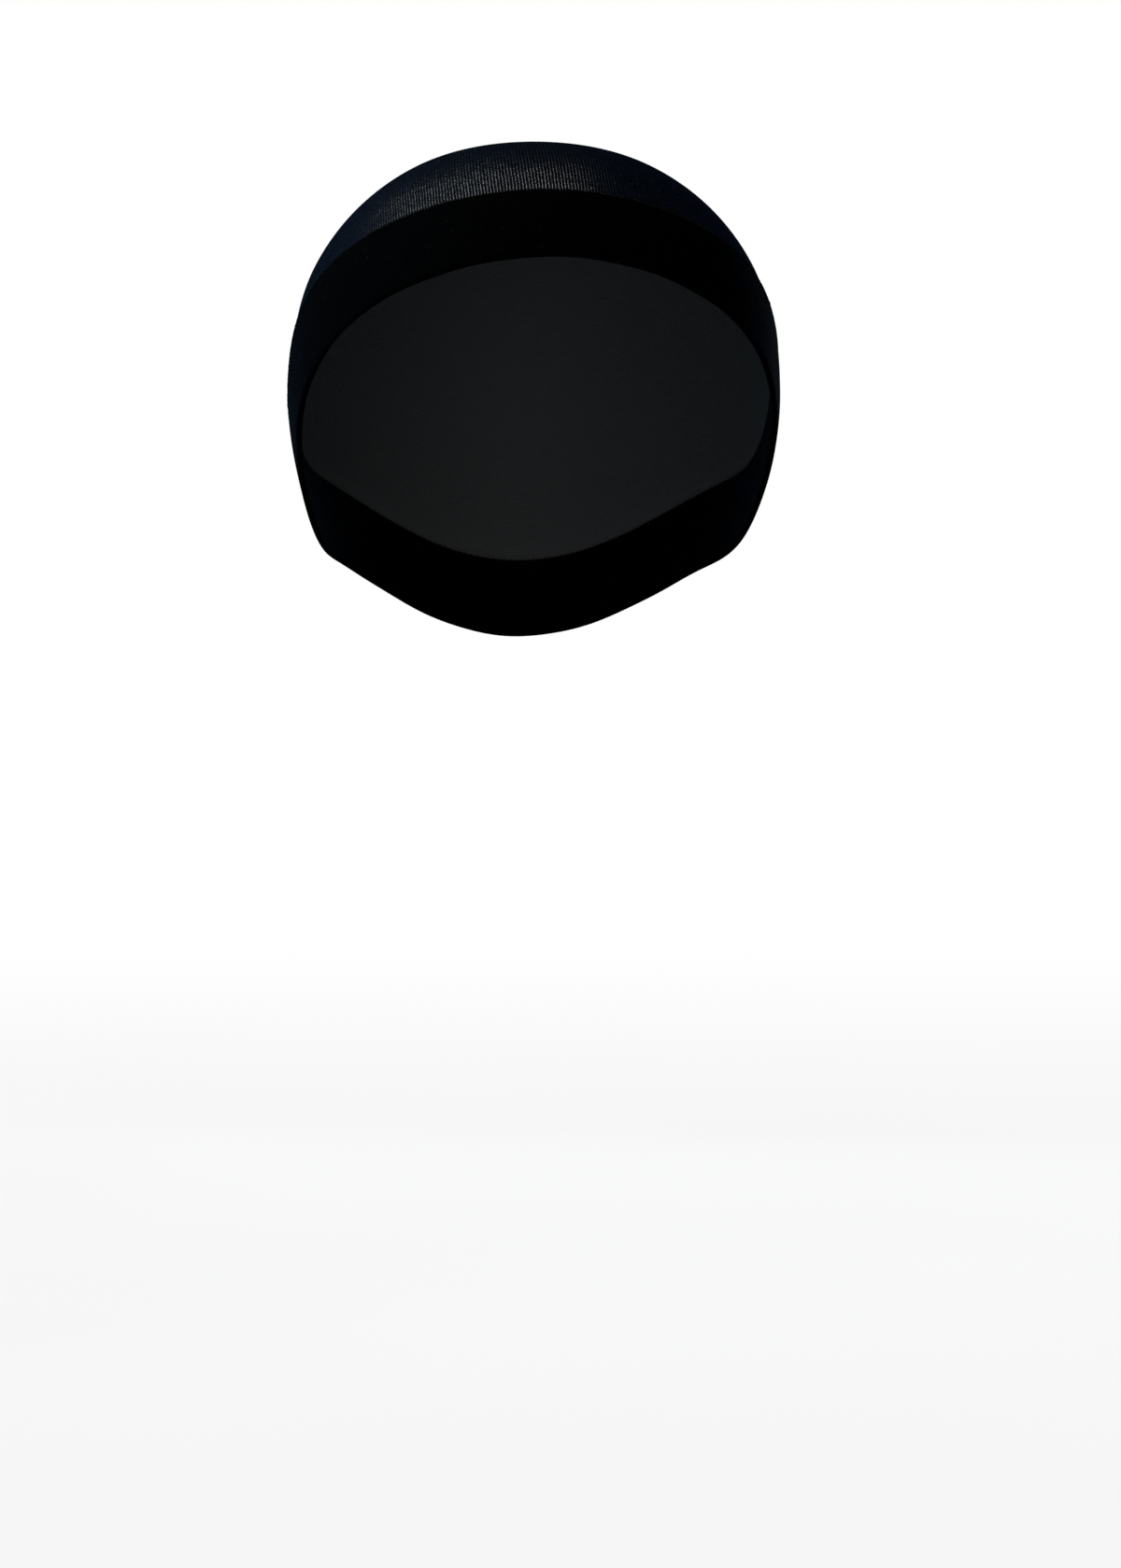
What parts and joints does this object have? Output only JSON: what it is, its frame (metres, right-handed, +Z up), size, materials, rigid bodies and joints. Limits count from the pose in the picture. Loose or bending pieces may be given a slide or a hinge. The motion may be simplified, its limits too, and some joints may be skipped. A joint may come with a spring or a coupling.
{
  "type": "stocking wig cap",
  "caption": "Stretch-knit skullcap with a fine domed crown, a doubled opaque band round the face opening and nape, and a seamed closed end; worn under a wig.",
  "frame": {"origin": "inner top of the crown, where the top of the wearer's head seats", "axes": "+Z up; the face opening looks along -Y; the wearer's left is +X"},
  "size_m": [0.1488, 0.1812, 0.1462],
  "materials": {
    "crown_knit": "fine single-ply nylon stocking knit, black, faint sheen",
    "welt_knit": "the same knit doubled, jet black, matt",
    "seam_thread": "black overlock thread, matt"
  },
  "bodies": {
    "root": {"crown": "crown_knit", "welt_band": "welt_knit", "closing_seam": "seam_thread"}
  },
  "joints": []
}
